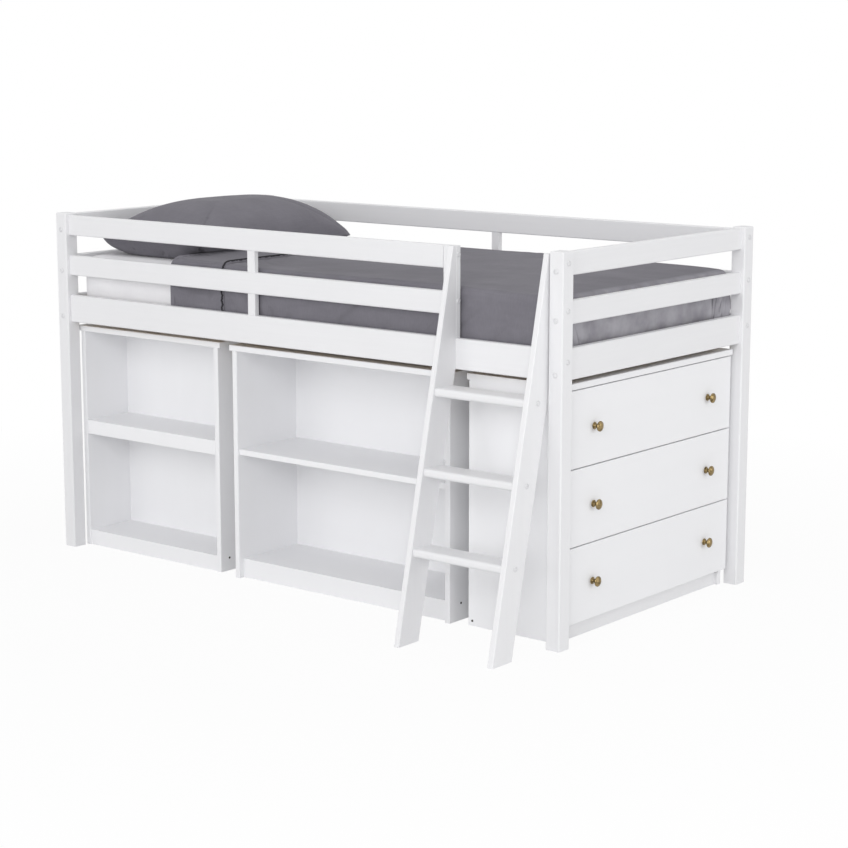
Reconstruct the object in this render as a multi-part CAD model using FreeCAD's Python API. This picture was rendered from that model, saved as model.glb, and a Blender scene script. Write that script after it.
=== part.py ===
import FreeCAD, Part
import math
import os

from FreeCAD import Vector

# Loft bed with a leaning ladder, and two bookcases and a chest of drawers that stand under it.
# Millimetres. The origin is on the floor under the middle of the bed with its ladder and bolt caps.
# X runs from the head end to the foot end, Y from the ladder side to the rear, Z up.

# Bed frame
bed_length = 2000.0
bed_depth = 990.0
bed_height = 1100.0
guard_height = 352.0
post_width = 46.0
post_depth = 50.0
post_bevel = 3.0
rail_thickness = 22.0
rail_bevel = 2.5
base_rail_height = 87.0
guard_rail_height = 64.0
side_guard_drop = 7.0
end_guard_drop = 3.0
guard_post_width = 46.0
upright_width = 30.0
upright_thickness = 18.0
front_upright_share = 0.423
rear_upright_share = 0.527

# Bolts with round caps
bolt_radius = 3.0
bolt_bite = 40.0
hole_clearance = 0.3
cap_radius = 6.5
cap_height = 1.6
cap_sides = 12
shank_sides = 6
side_bolt_share = 0.62
end_bolt_share = 0.22

# Bed base
ledger_thickness = 22.0
ledger_height = 22.0
ledger_lift = 5.0
slat_thickness = 18.0
slat_width = 68.0
slat_count = 14
slat_end_gap = 1.0

# Bedding
mattress_height = 170.0
mattress_end_gap = 21.0
mattress_rounding = 28.0
soft_clearance = 0.4
bedding_side_room = 3.6
duvet_uncovered = 418.0
duvet_thickness = 14.0
duvet_skirt_thickness = 6.0
duvet_skirt_tuck = 32.0
cuff_width = 232.0
cuff_thickness = 10.0
cuff_skirt_thickness = 4.0
pillow_side_gap = 54.0
pillow_height = 170.0
pillow_head_gap = 6.0
pillow_overlap = 58.0
pillow_tip_thickness = 16.0
pillow_underside_share = 0.3
pillow_waist_share = 0.06
pillow_place_shares = (-1.0, -0.9, -0.5, 0.5, 0.9, 1.0)
pillow_swell_shares = (0.0, 0.5, 1.0, 1.0, 0.5, 0.0)

# Ladder
ladder_width = 342.0
ladder_reach = 240.0
ladder_post_gap = 2.0
ladder_seat_lift = 8.0
stile_thickness = 18.0
stile_top_thickness = 14.0
stile_bevel = 2.5
tread_count = 3
tread_thickness = 24.0
tread_front_inset = 8.0
tread_rear_inset = 6.0
tread_rounding_share = 0.375
tread_first_level = 268.0
tread_last_drop = 129.0

# Board sizes that the bookcases and the chest share
board_thickness = 18.0
back_thickness = 6.0
board_bevel = 1.5
case_headroom = 16.0
screw_radius = 3.5
screw_length = 45.0
screw_head_height = 1.0
screw_inset = 15.0

# Small bookcase
small_width = 619.0
small_depth = 190.0
small_head_offset = 40.0
small_post_gap = 6.0
small_top_overhang = 12.0
small_top_nose = 3.0
small_shelf_level = 420.0
small_apron_height = 46.0
small_plinth_height = 50.0
small_plinth_recess = 5.0

# Large bookcase
case_gap = 78.0
large_depth = 275.0
large_setback = 42.0
large_top_overhang = 8.0
large_top_nose = 3.0
large_shelf_level = 408.0
large_shelf_recess = 8.0
large_plinth_height = 60.0
large_plinth_recess = 20.0
shelf_pin_radius = 3.0
shelf_pin_reach = 12.0
shelf_pin_inset = 40.0

# Chest of drawers
chest_depth = 337.0
chest_face_setback = 28.0
chest_gap = 49.0
chest_post_gap = 12.0
chest_top_overhang = 4.0
chest_top_nose = 2.0
chest_plinth_height = 48.0
chest_plinth_recess = 12.0
drawer_count = 3
drawer_gap = 3.0
drawer_front_inset = 1.0
drawer_side_thickness = 15.0
drawer_side_drop = 52.0
drawer_side_clearance = 2.0
drawer_rear_gap = 20.0
drawer_bottom_thickness = 5.0
drawer_bottom_lift = 8.0
drawer_box_lift = 16.0
runner_thickness = 10.0
runner_height = 16.0
runner_front_gap = 4.0
groove_clearance = 0.3
groove_floor_gap = 0.5
groove_level_share = 0.4
knob_inset = 132.0
knob_reach = 26.0
knob_head_radius = 15.0
knob_head_height = 10.0
knob_neck_radius = 6.0
knob_cap_rise = 4.0
knob_flat_radius = 4.0
knob_bulge_share = 0.75

# How far a cutting tool runs past what it cuts
overrun = 5.0

# Planes of the frame that follow from the sizes above
head_x = -bed_length / 2
foot_x = bed_length / 2
front_y = (ladder_reach - bed_depth - cap_height) / 2
rear_y = front_y + bed_depth
head_post_x = head_x + post_width
foot_post_x = foot_x - post_width
front_post_y = front_y + post_depth
rear_post_y = rear_y - post_depth
side_setback = (post_depth - rail_thickness) / 2
end_setback = (post_width - rail_thickness) / 2
front_rail_y = front_y + side_setback
rear_rail_y = rear_y - side_setback - rail_thickness
head_rail_x = head_x + end_setback
foot_rail_x = foot_x - end_setback - rail_thickness
inner_head_x = head_rail_x + rail_thickness
inner_front_y = front_rail_y + rail_thickness
base_rail_z = bed_height - guard_height
base_rail_top = base_rail_z + base_rail_height
side_top_rail_z = bed_height - side_guard_drop - guard_rail_height
end_top_rail_z = bed_height - end_guard_drop - guard_rail_height
middle_rail_z = (base_rail_top + side_top_rail_z - guard_rail_height) / 2
side_rail_top = side_top_rail_z + guard_rail_height
ladder_right_x = foot_post_x - ladder_post_gap
ladder_left_x = ladder_right_x - ladder_width
guard_post_x = ladder_left_x + stile_thickness - guard_post_width
mid_y = (front_y + rear_y) / 2
mattress_side_gap = soft_clearance + duvet_skirt_thickness + cuff_skirt_thickness + bedding_side_room

# Rails of one side or end, from the base rail up: name, underside and height
side_levels = (
    ("base_rail", base_rail_z, base_rail_height),
    ("middle_rail", middle_rail_z, guard_rail_height),
    ("top_rail", side_top_rail_z, guard_rail_height),
)
end_levels = (
    ("base_rail", base_rail_z, base_rail_height),
    ("middle_rail", middle_rail_z, guard_rail_height),
    ("top_rail", end_top_rail_z, guard_rail_height),
)

along_x = Vector(1, 0, 0)
along_y = Vector(0, 1, 0)
along_z = Vector(0, 0, 1)

nodes = {}


def block(x, y, z, length, depth, height):
    return Part.makeBox(length, depth, height, Vector(x, y, z))


def is_along(edge, direction):
    if edge.Curve.TypeId != "Part::GeomLine":
        return False
    return abs(edge.tangentAt(edge.FirstParameter).dot(direction)) > 1 - 1e-6


def bevel(shape, size, direction):
    """Bevel the straight edges that run along a direction."""
    return shape.makeChamfer(size, [edge for edge in shape.Edges if is_along(edge, direction)])


def board(x, y, z, length, depth, height, direction):
    """A flat board with its long edges taken off."""
    return bevel(block(x, y, z, length, depth, height), board_bevel, direction)


def rod(radius, place, direction, length, sides):
    """A straight rod of a few flat sides that starts at a place."""
    turn = FreeCAD.Rotation(along_z, direction)
    corners = []
    for number in range(sides):
        angle = 2 * math.pi * number / sides
        corners.append(place + turn.multVec(Vector(math.cos(angle), math.sin(angle), 0)) * radius)
    return Part.Face(Part.makePolygon(corners + corners[:1])).extrude(direction * length)


def bore(shape, radius, place, direction, length):
    """Cut the hole of a bolt or screw that enters at a place, where it reaches the shape."""
    start = place - direction * overrun
    hole = rod(radius + hole_clearance, start, direction, overrun + length + hole_clearance, shank_sides)
    if not hole.BoundBox.intersect(shape.BoundBox):
        return shape
    return shape.cut(hole)


def bolt_holes(shape, bolts):
    for place, direction, length in bolts:
        shape = bore(shape, bolt_radius, place, direction, length)
    return shape


def make_bolts(bolts):
    """Bolts with a round cap that lies on the wood."""
    solids = []
    for place, direction, length in bolts:
        cap = rod(cap_radius, place, direction * -1, cap_height, cap_sides)
        shank = rod(bolt_radius, place, direction, length, shank_sides)
        solids.append(cap.fuse(shank).removeSplitter())
    return Part.makeCompound(solids)


# Bolts of the frame: place on the wood, direction into it, shank length
frame_bolts = []
for y in (front_y + post_depth / 2, rear_y - post_depth / 2):
    for name, bottom, height in side_levels:
        level = bottom + height * side_bolt_share
        frame_bolts.append((Vector(head_x, y, level), along_x, post_width + bolt_bite))
        frame_bolts.append((Vector(foot_x, y, level), along_x * -1, post_width + bolt_bite))
for x in (head_x + post_width / 2, foot_x - post_width / 2):
    for name, bottom, height in end_levels:
        level = bottom + height * end_bolt_share
        frame_bolts.append((Vector(x, front_y, level), along_y, post_depth + bolt_bite))
        frame_bolts.append((Vector(x, rear_y, level), along_y * -1, post_depth + bolt_bite))
for name, bottom, height in side_levels[1:]:
    guard_face = Vector(guard_post_x + guard_post_width, front_rail_y + rail_thickness / 2, 0)
    level = bottom + height * side_bolt_share
    frame_bolts.append((guard_face + along_z * level, along_x * -1, guard_post_width + bolt_bite))


def make_posts():
    for x_name, x in (("head", head_x), ("foot", foot_post_x)):
        for y_name, y in (("front", front_y), ("rear", rear_post_y)):
            post = block(x, y, 0, post_width, post_depth, bed_height)
            above_floor = [edge for edge in post.Edges if edge.BoundBox.ZMax > overrun]
            post = post.makeChamfer(post_bevel, above_floor)
            nodes[y_name + "_" + x_name + "_post"] = bolt_holes(post, frame_bolts)


def make_rails():
    for name, z, height in side_levels:
        front_end = foot_post_x if name == "base_rail" else guard_post_x
        front = block(head_post_x, front_rail_y, z, front_end - head_post_x, rail_thickness, height)
        rear = block(head_post_x, rear_rail_y, z, foot_post_x - head_post_x, rail_thickness, height)
        nodes["front_" + name] = bolt_holes(bevel(front, rail_bevel, along_x), frame_bolts)
        nodes["rear_" + name] = bolt_holes(bevel(rear, rail_bevel, along_x), frame_bolts)
    for name, z, height in end_levels:
        depth = rear_post_y - front_post_y
        for end_name, x in (("head", head_rail_x), ("foot", foot_rail_x)):
            rail = block(x, front_post_y, z, rail_thickness, depth, height)
            nodes[end_name + "_" + name] = bolt_holes(bevel(rail, rail_bevel, along_y), frame_bolts)


def make_guard():
    post = block(guard_post_x, front_rail_y, base_rail_top,
                 guard_post_width, rail_thickness, side_rail_top - base_rail_top)
    nodes["guard_end_post"] = bolt_holes(bevel(post, rail_bevel, along_z), frame_bolts)
    inset = (rail_thickness - upright_thickness) / 2
    uprights = []
    for y, share in ((front_rail_y, front_upright_share), (rear_rail_y, rear_upright_share)):
        x = head_x + bed_length * share - upright_width / 2
        for (_, low, low_height), (_, high, _) in zip(side_levels, side_levels[1:]):
            foot = low + low_height
            upright = block(x, y + inset, foot, upright_width, upright_thickness, high - foot)
            uprights.append(bevel(upright, board_bevel, along_z))
    nodes["guard_uprights"] = Part.makeCompound(uprights)


ledger_z = base_rail_z + ledger_lift
slat_z = ledger_z + ledger_height
mattress_z = slat_z + slat_thickness
mattress_top = mattress_z + mattress_height
inner_depth = rear_rail_y - inner_front_y


def make_bed_base():
    length = foot_post_x - head_post_x
    front = block(head_post_x, inner_front_y, ledger_z, length, ledger_thickness, ledger_height)
    rear = front.translated(Vector(0, inner_depth - ledger_thickness, 0))
    nodes["slat_ledgers"] = Part.makeCompound([front, rear])
    pitch = (length - slat_width) / (slat_count - 1)
    end_room = cap_height + slat_end_gap
    slats = []
    for number in range(slat_count):
        slat = block(head_post_x + pitch * number, inner_front_y + end_room, slat_z,
                     slat_width, inner_depth - 2 * end_room, slat_thickness)
        slats.append(slat)
    nodes["bed_slats"] = Part.makeCompound(slats)


def bedding_hood(head, foot, wrap, rise, low, closed_ends):
    """Block with rounded upper edges over the mattress: a wrap round its sides, a rise over it."""
    y = inner_front_y + mattress_side_gap - wrap
    depth = inner_depth - 2 * mattress_side_gap + 2 * wrap
    top = mattress_top + rise
    hood = block(head, y, low, foot - head, depth, top - low)
    upper = [edge for edge in hood.Edges if edge.BoundBox.ZMax > top - soft_clearance]
    rims = [edge for edge in upper if is_along(edge, along_x)]
    for end in closed_ends:
        rims += [edge for edge in upper if abs(edge.CenterOfMass.x - end) < soft_clearance]
    return hood.makeFillet(mattress_rounding + wrap, rims)


mattress_head_x = inner_head_x + mattress_end_gap
mattress_foot_x = foot_rail_x - mattress_end_gap


def make_mattress():
    ends = (mattress_head_x, mattress_foot_x)
    nodes["mattress"] = bedding_hood(*ends, 0, 0, mattress_z, ends)


def make_duvet():
    start = mattress_head_x + duvet_uncovered
    hem_z = base_rail_top - duvet_skirt_tuck
    wrap = soft_clearance + duvet_skirt_thickness
    rise = soft_clearance + duvet_thickness
    foot = mattress_foot_x + wrap
    cover = bedding_hood(start, foot, wrap, rise, hem_z, (foot,))
    cuff_wrap = wrap + cuff_skirt_thickness
    cuff = bedding_hood(start, start + cuff_width, cuff_wrap, rise + cuff_thickness, hem_z, ())
    foot = mattress_foot_x + soft_clearance
    hollow = bedding_hood(start - overrun, foot, soft_clearance, soft_clearance, hem_z - overrun, (foot,))
    nodes["duvet"] = cover.fuse(cuff).cut(hollow).removeSplitter()


def pillow_section(x, y, width, seam_z, rise, sag):
    """Outline of the pillow across its length: an arc above and an arc below a seam at each side."""
    left = Vector(x - width / 2, y, seam_z)
    right = Vector(x + width / 2, y, seam_z)
    crown = Part.Arc(left, Vector(x, y, seam_z + rise), right).toShape()
    belly = Part.Arc(right, Vector(x, y, seam_z - sag), left).toShape()
    return Part.Wire([crown, belly])


def make_pillow():
    half_length = inner_depth / 2 - pillow_side_gap
    width = duvet_uncovered - pillow_head_gap + pillow_overlap
    x = mattress_head_x + pillow_head_gap + width / 2
    seam_z = mattress_top + soft_clearance + pillow_height * pillow_underside_share
    sections = []
    for place, swell in zip(pillow_place_shares, pillow_swell_shares):
        thickness = pillow_tip_thickness + (pillow_height - pillow_tip_thickness) * swell
        waist = width * (1 - pillow_waist_share * (1 - place ** 2))
        sections.append(pillow_section(x, mid_y + half_length * place, waist, seam_z,
                                       thickness * (1 - pillow_underside_share),
                                       thickness * pillow_underside_share))
    nodes["pillow"] = Part.makeLoft(sections, True, True)


# Ladder: the stiles lean back until their cut backs meet the base rail at the seat
stile_top_y = front_rail_y - stile_top_thickness
foot_front_y = front_y - ladder_reach
stile_slope = (stile_top_y - foot_front_y) / side_rail_top
seat_z = base_rail_z + ladder_seat_lift
stile_foot_length = front_rail_y - foot_front_y - stile_slope * seat_z
tread_last_level = base_rail_top - tread_last_drop
tread_levels = [tread_first_level + (tread_last_level - tread_first_level) * number / (tread_count - 1)
                for number in range(tread_count)]
ladder_lefts = (ladder_left_x, ladder_right_x - stile_thickness)


def stile_front_at(z):
    return foot_front_y + stile_slope * z


tread_depth = stile_foot_length - tread_front_inset - tread_rear_inset
ladder_bolts = []
for level in tread_levels:
    middle_z = level - tread_thickness / 2
    middle_y = stile_front_at(middle_z) + tread_front_inset + tread_depth / 2
    for x, inward in ((ladder_left_x, along_x), (ladder_right_x, along_x * -1)):
        ladder_bolts.append((Vector(x, middle_y, middle_z), inward, stile_thickness + bolt_bite))
for left in ladder_lefts:
    seat_middle = Vector(left + stile_thickness / 2, inner_front_y, (seat_z + base_rail_top) / 2)
    ladder_bolts.append((seat_middle, along_y * -1, rail_thickness + bolt_bite))


def make_ladder():
    for name, left in zip(("left", "right"), ladder_lefts):
        outline = [
            Vector(left, foot_front_y, 0),
            Vector(left, foot_front_y + stile_foot_length, 0),
            Vector(left, front_rail_y, seat_z),
            Vector(left, front_rail_y, side_rail_top),
            Vector(left, stile_top_y, side_rail_top),
        ]
        face = Part.Face(Part.makePolygon(outline + outline[:1]))
        stile = face.extrude(Vector(stile_thickness, 0, 0))
        upright_edges = [edge for edge in stile.Edges if edge.BoundBox.ZLength > bed_height / 2]
        front_edges = [edge for edge in upright_edges if edge.BoundBox.YMin < foot_front_y + overrun]
        stile = stile.makeChamfer(stile_bevel, front_edges)
        nodes["ladder_" + name + "_stile"] = bolt_holes(stile, ladder_bolts)
    inner_x = ladder_left_x + stile_thickness
    tread_length = ladder_width - 2 * stile_thickness
    tread_rounding = tread_thickness * tread_rounding_share
    treads = []
    for level in tread_levels:
        z = level - tread_thickness
        y = stile_front_at(level - tread_thickness / 2) + tread_front_inset
        tread = block(inner_x, y, z, tread_length, tread_depth, tread_thickness)
        long_edges = [edge for edge in tread.Edges if is_along(edge, along_x)]
        front_edges = [edge for edge in long_edges if edge.BoundBox.YMax < y + tread_rounding]
        treads.append(bolt_holes(tread.makeFillet(tread_rounding, front_edges), ladder_bolts))
    nodes["ladder_treads"] = Part.makeCompound(treads)
    nodes["front_base_rail"] = bolt_holes(nodes["front_base_rail"], ladder_bolts)


case_top = base_rail_z - case_headroom
case_side_height = case_top - board_thickness

small_left_x = head_x + small_head_offset
small_front_y = front_post_y + small_post_gap + small_top_nose
large_left_x = small_left_x + small_width + case_gap
chest_face_x = foot_x - chest_face_setback
chest_back_x = chest_face_x - chest_depth
large_width = chest_back_x - chest_gap - large_left_x
large_front_y = front_y + large_setback


def screw(place, direction):
    """Assembly screw whose flat head stands on the outer face of a side."""
    head = rod(screw_radius, place, direction * -1, screw_head_height, cap_sides)
    shank = rod(screw_radius / 2, place, direction, screw_length, shank_sides)
    return head.fuse(shank).removeSplitter()


def screw_hole(shape, place, direction):
    return bore(shape, screw_radius / 2, place, direction, screw_length)


screws = []


def make_bookcase(name, x, y, width, depth, overhang, nose, plinth_height, plinth_recess):
    """Sides, top, bottom board, plinth and back panel of a bookcase, held by a screw low in each side."""
    inner_x = x + board_thickness
    inner_width = width - 2 * board_thickness
    back_y = y + depth - back_thickness
    plinth_y = y + plinth_recess
    bottom_y = plinth_y + board_thickness
    bottom_z = plinth_height - board_thickness
    left = board(x, y, 0, board_thickness, depth, case_side_height, along_z)
    right = board(inner_x + inner_width, y, 0, board_thickness, depth, case_side_height, along_z)
    bottom = block(inner_x, bottom_y, bottom_z, inner_width, back_y - bottom_y, board_thickness)
    screw_y = bottom_y + screw_inset
    screw_z = bottom_z + board_thickness / 2
    left_screw = Vector(x, screw_y, screw_z)
    right_screw = Vector(x + width, screw_y, screw_z)
    screws.append(screw(left_screw, along_x))
    screws.append(screw(right_screw, along_x * -1))
    nodes[name + "_left_side"] = screw_hole(left, left_screw, along_x)
    nodes[name + "_right_side"] = screw_hole(right, right_screw, along_x * -1)
    bottom = screw_hole(bottom, left_screw, along_x)
    nodes[name + "_bottom"] = screw_hole(bottom, right_screw, along_x * -1)
    nodes[name + "_top"] = board(x - overhang, y - nose, case_side_height, width + 2 * overhang,
                                 depth + nose, board_thickness, along_x)
    nodes[name + "_plinth"] = block(inner_x, plinth_y, 0, inner_width, board_thickness, plinth_height)
    nodes[name + "_back"] = block(inner_x, back_y, 0, inner_width, back_thickness, case_side_height)
    return inner_x, inner_width, back_y


def make_small_bookcase():
    inner_x, inner_width, back_y = make_bookcase(
        "small_bookcase", small_left_x, small_front_y, small_width, small_depth,
        small_top_overhang, small_top_nose, small_plinth_height, small_plinth_recess)
    apron = board(inner_x, small_front_y, small_shelf_level - small_apron_height,
                  inner_width, board_thickness, small_apron_height, along_x)
    shelf_y = small_front_y + board_thickness
    shelf = block(inner_x, shelf_y, small_shelf_level - board_thickness,
                  inner_width, back_y - shelf_y, board_thickness)
    nodes["small_bookcase_shelf"] = Part.makeCompound([shelf, apron])


def make_large_bookcase():
    inner_x, inner_width, back_y = make_bookcase(
        "large_bookcase", large_left_x, large_front_y, large_width, large_depth,
        large_top_overhang, large_top_nose, large_plinth_height, large_plinth_recess)
    shelf_y = large_front_y + large_shelf_recess
    shelf_z = large_shelf_level - board_thickness
    nodes["large_bookcase_shelf"] = board(inner_x, shelf_y, shelf_z, inner_width,
                                          back_y - shelf_y, board_thickness, along_x)
    pins = []
    pin_z = shelf_z - shelf_pin_radius - hole_clearance
    sides = (("left", inner_x, along_x), ("right", inner_x + inner_width, along_x * -1))
    for name, face_x, inward in sides:
        side = nodes["large_bookcase_" + name + "_side"]
        for y in (shelf_y + shelf_pin_inset, back_y - shelf_pin_inset):
            start = Vector(face_x, y, pin_z) - inward * (board_thickness / 2)
            pin_length = board_thickness / 2 + shelf_pin_reach
            pins.append(rod(shelf_pin_radius, start, inward, pin_length, shank_sides))
            side = side.cut(rod(shelf_pin_radius + hole_clearance, start, inward, pin_length, shank_sides))
        nodes["large_bookcase_" + name + "_side"] = side
    nodes["large_bookcase_shelf_pins"] = Part.makeCompound(pins)


chest_front_y = front_post_y + chest_post_gap + chest_top_overhang
chest_rear_y = rear_post_y - chest_post_gap - chest_top_overhang
chest_width = chest_rear_y - chest_front_y
chest_inner_width = chest_width - 2 * board_thickness
carcass_face_x = chest_face_x - board_thickness
carcass_depth = carcass_face_x - chest_back_x
drawer_pitch = (case_side_height - chest_plinth_height - drawer_gap) / drawer_count
drawer_side_height = drawer_pitch - drawer_gap - drawer_box_lift - drawer_side_drop
groove_lift = drawer_side_height * groove_level_share
drawer_inner_y = chest_front_y + board_thickness
runner_back_x = chest_back_x + back_thickness


def drawer_z(number):
    """Underside of a drawer front, counted from the top drawer."""
    return case_side_height - drawer_pitch * (number + 1)


def make_chest():
    front = board(chest_back_x, chest_front_y, 0, carcass_depth, board_thickness, case_side_height, along_z)
    rear = board(chest_back_x, chest_rear_y - board_thickness, 0,
                 carcass_depth, board_thickness, case_side_height, along_z)
    plinth_x = carcass_face_x - chest_plinth_recess - board_thickness
    nodes["chest_top"] = board(chest_back_x - chest_top_overhang, chest_front_y - chest_top_overhang,
                               case_side_height, chest_depth + chest_top_overhang + chest_top_nose,
                               chest_width + 2 * chest_top_overhang, board_thickness, along_y)
    nodes["chest_back"] = block(chest_back_x, drawer_inner_y, 0,
                                back_thickness, chest_inner_width, case_side_height)
    nodes["chest_plinth"] = block(plinth_x, drawer_inner_y, 0,
                                  board_thickness, chest_inner_width, chest_plinth_height)
    low = Vector(chest_back_x + screw_inset, chest_front_y, screw_inset)
    far = Vector(chest_back_x + screw_inset, chest_rear_y, screw_inset)
    corner_blocks = []
    for y in (drawer_inner_y, chest_rear_y - board_thickness - screw_length):
        corner_block = block(runner_back_x, y, 0, 2 * screw_inset, screw_length, 2 * screw_inset)
        corner_block = screw_hole(corner_block, low, along_y)
        corner_blocks.append(screw_hole(corner_block, far, along_y * -1))
    nodes["chest_corner_blocks"] = Part.makeCompound(corner_blocks)
    nodes["chest_front_side"] = screw_hole(front, low, along_y)
    nodes["chest_rear_side"] = screw_hole(rear, far, along_y * -1)
    screws.append(screw(low, along_y))
    screws.append(screw(far, along_y * -1))
    runners = []
    for number in range(drawer_count):
        z = drawer_z(number) + drawer_box_lift + groove_lift
        for y in (drawer_inner_y, chest_rear_y - board_thickness - runner_thickness):
            length = carcass_face_x - runner_front_gap - runner_back_x
            runners.append(block(runner_back_x, y, z, length, runner_thickness, runner_height))
    nodes["drawer_runners"] = Part.makeCompound(runners)


def make_drawer_box(z):
    """Two grooved sides, a back and a bottom, which reach from the front's inner face."""
    back_x = runner_back_x + drawer_rear_gap
    length = carcass_face_x - back_x
    side_y = drawer_inner_y + drawer_side_clearance
    span = chest_inner_width - 2 * drawer_side_clearance
    inner_span = span - 2 * drawer_side_thickness
    inner_y = side_y + drawer_side_thickness
    groove_depth = runner_thickness - drawer_side_clearance + groove_floor_gap
    groove_z = z + groove_lift - groove_clearance
    groove_height = runner_height + 2 * groove_clearance
    groove = block(back_x - overrun, side_y - overrun, groove_z,
                   length + overrun, groove_depth + overrun, groove_height)
    far_groove = groove.translated(Vector(0, span - groove_depth + overrun, 0))
    near = block(back_x, side_y, z, length, drawer_side_thickness, drawer_side_height).cut(groove)
    far = block(back_x, inner_y + inner_span, z, length, drawer_side_thickness, drawer_side_height)
    far = far.cut(far_groove)
    back = block(back_x, inner_y, z, drawer_side_thickness, inner_span, drawer_side_height)
    bottom = block(back_x + drawer_side_thickness, inner_y, z + drawer_bottom_lift,
                   length - drawer_side_thickness, inner_span, drawer_bottom_thickness)
    return Part.makeCompound([near, far, back, bottom])


def make_knob(y, z):
    """Mushroom knob turned about an axis square to the drawer front."""
    rim = chest_face_x + knob_reach - knob_cap_rise
    tip = chest_face_x + knob_reach
    bulge_radius = (knob_head_radius + knob_flat_radius) / 2
    corners = [
        Vector(tip, y, z + knob_flat_radius),
        Vector(tip, y, z),
        Vector(chest_face_x, y, z),
        Vector(chest_face_x, y, z + knob_neck_radius),
        Vector(tip - knob_head_height, y, z + knob_neck_radius),
        Vector(rim, y, z + knob_head_radius),
    ]
    edges = [Part.makeLine(start, end) for start, end in zip(corners, corners[1:])]
    bulge = Vector(rim + knob_cap_rise * knob_bulge_share, y, z + bulge_radius)
    edges.append(Part.Arc(corners[-1], bulge, corners[0]).toShape())
    profile = Part.Face(Part.Wire(edges))
    return profile.revolve(Vector(chest_face_x, y, z), along_x, 360)


def make_drawers():
    names = ("upper", "middle", "lower")
    for number, name in enumerate(names):
        z = drawer_z(number)
        front = block(carcass_face_x, chest_front_y + drawer_front_inset, z, board_thickness,
                      chest_width - 2 * drawer_front_inset, drawer_pitch - drawer_gap)
        outer_edges = [edge for edge in front.Edges if edge.BoundBox.XMin > chest_face_x - board_bevel]
        nodes[name + "_drawer_front"] = front.makeChamfer(board_bevel, outer_edges)
        nodes[name + "_drawer_box"] = make_drawer_box(z + drawer_box_lift)
        knob_z = z + (drawer_pitch - drawer_gap) / 2
        knobs = [make_knob(y, knob_z) for y in (chest_front_y + knob_inset, chest_rear_y - knob_inset)]
        nodes[name + "_drawer_knobs"] = Part.makeCompound(knobs)


make_posts()
make_rails()
make_guard()
make_bed_base()
make_mattress()
make_duvet()
make_pillow()
make_ladder()
make_small_bookcase()
make_large_bookcase()
make_chest()
make_drawers()
nodes["frame_bolts"] = make_bolts(frame_bolts)
nodes["ladder_bolts"] = make_bolts(ladder_bolts)
nodes["assembly_screws"] = Part.makeCompound(screws)

os.makedirs("parts", exist_ok=True)
for node_name, shape in nodes.items():
    shape.exportStep("parts/" + node_name + ".step")
    solids = len(shape.Solids)
    print(node_name, solids, "solids, valid", shape.isValid(), "volume", round(shape.Volume / 1000), "cm3")
print(len(nodes), "nodes")
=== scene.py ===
import math
import bmesh
import bpy
import numpy as np
from mathutils import Matrix, Vector


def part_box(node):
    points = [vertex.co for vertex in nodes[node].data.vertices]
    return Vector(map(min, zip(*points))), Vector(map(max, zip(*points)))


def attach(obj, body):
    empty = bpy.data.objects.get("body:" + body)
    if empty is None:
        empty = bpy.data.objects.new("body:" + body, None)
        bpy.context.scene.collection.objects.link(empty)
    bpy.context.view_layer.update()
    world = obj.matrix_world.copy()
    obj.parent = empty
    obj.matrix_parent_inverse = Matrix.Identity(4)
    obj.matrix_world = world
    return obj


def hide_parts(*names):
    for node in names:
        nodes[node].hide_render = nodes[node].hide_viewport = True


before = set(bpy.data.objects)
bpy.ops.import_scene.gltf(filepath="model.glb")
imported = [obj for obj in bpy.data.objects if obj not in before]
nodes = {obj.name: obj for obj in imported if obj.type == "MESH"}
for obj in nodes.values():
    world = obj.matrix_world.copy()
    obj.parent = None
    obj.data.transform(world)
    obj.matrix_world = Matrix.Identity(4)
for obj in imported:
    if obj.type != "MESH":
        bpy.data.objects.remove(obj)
scene = bpy.context.scene
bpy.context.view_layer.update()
print("stage: frame loaded,", len(nodes), "nodes")


# one wrapped socket: arithmetic on it adds Math nodes
class Wire:
    def __init__(self, surface, socket):
        self.surface = surface
        self.socket = socket

    def mathNode(self, operation, first, second):
        return self.surface.add("Math", {"operation": operation}, {0: first, 1: second})

    def __add__(self, other):
        return self.mathNode("ADD", self, other)

    def __radd__(self, other):
        return self.mathNode("ADD", other, self)

    def __sub__(self, other):
        return self.mathNode("SUBTRACT", self, other)

    def __rsub__(self, other):
        return self.mathNode("SUBTRACT", other, self)

    def __mul__(self, other):
        return self.mathNode("MULTIPLY", self, other)

    def __rmul__(self, other):
        return self.mathNode("MULTIPLY", other, self)


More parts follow.
